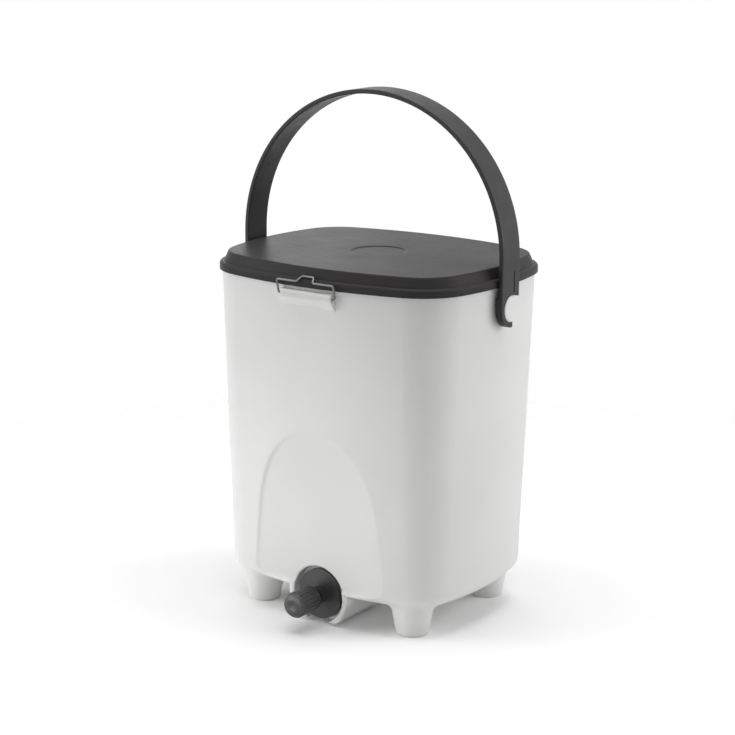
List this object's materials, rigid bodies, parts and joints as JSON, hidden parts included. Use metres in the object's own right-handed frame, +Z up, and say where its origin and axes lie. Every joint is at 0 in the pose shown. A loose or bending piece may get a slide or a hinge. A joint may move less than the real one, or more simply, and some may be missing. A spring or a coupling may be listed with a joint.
{
  "type": "bokashi bin",
  "caption": "Lidded bokashi composting bin: tapered rounded tub on feet, with a swinging carrying handle, wire lid latches, a drain grate and a front drain tap.",
  "frame": {"origin": "on the floor, at the middle of the feet, under the middle of the tub", "axes": "+Z up, -Y towards the tap side (front), +X to the right seen from the front, along the handle's pivot axis"},
  "size_m": [0.2992, 0.2643, 0.5062],
  "materials": {
    "white_polypropylene": "moulded satin",
    "grey_polypropylene": "moulded semi-gloss",
    "dark_polypropylene": "moulded satin",
    "plated_wire": "drawn and plated",
    "seal_rubber": "matt"
  },
  "bodies": {
    "bin": {"bin_body": "white_polypropylene", "tap_body": "dark_polypropylene", "tap_gasket": "seal_rubber", "tap_inner_washer": "seal_rubber", "tap_lock_nut": "dark_polypropylene"},
    "grate": {"drain_grate": "white_polypropylene"},
    "lid": {"lid": "grey_polypropylene", "lid_seal": "seal_rubber"},
    "handle": {"handle": "dark_polypropylene"},
    "front_latch": {"front_latch_wire": "plated_wire"},
    "rear_latch": {"rear_latch_wire": "plated_wire"},
    "tap_plug": {"tap_spindle": "dark_polypropylene", "spindle_o_rings": "seal_rubber", "spindle_clip": "plated_wire", "tap_knob": "dark_polypropylene"}
  },
  "joints": [
    {"name": "lid_lift", "type": "slide", "parent": "bin", "child": "lid", "axis": [0, 0, 1], "range_m": [0, 0.022]},
    {"name": "front_latch_swing", "type": "hinge", "parent": "bin", "child": "front_latch", "pos_m": [0, -0.1187, 0.3246], "axis": [1, 0, 0], "range_deg": [0, 151]},
    {"name": "rear_latch_swing", "type": "hinge", "parent": "bin", "child": "rear_latch", "pos_m": [0, 0.1187, 0.3246], "axis": [-1, 0, 0], "range_deg": [0, 151]},
    {"name": "handle_swing", "type": "hinge", "parent": "bin", "child": "handle", "pos_m": [0, 0, 0.311], "axis": [1, 0, 0], "range_deg": [-125, 125]},
    {"name": "tap_turn", "type": "hinge", "parent": "bin", "child": "tap_plug", "pos_m": [0, -0.095, 0.029], "axis": [0, 1, 0], "range_deg": [0, 90]},
    {"name": "grate_lift", "type": "slide", "parent": "bin", "child": "grate", "axis": [0, 0, 1], "range_m": [0, 0.24]}
  ],
  "couplings": [
    {"joint": "front_latch_swing", "follows": "lid_lift", "rad_per_m": 119},
    {"joint": "rear_latch_swing", "follows": "lid_lift", "rad_per_m": 119}
  ]
}
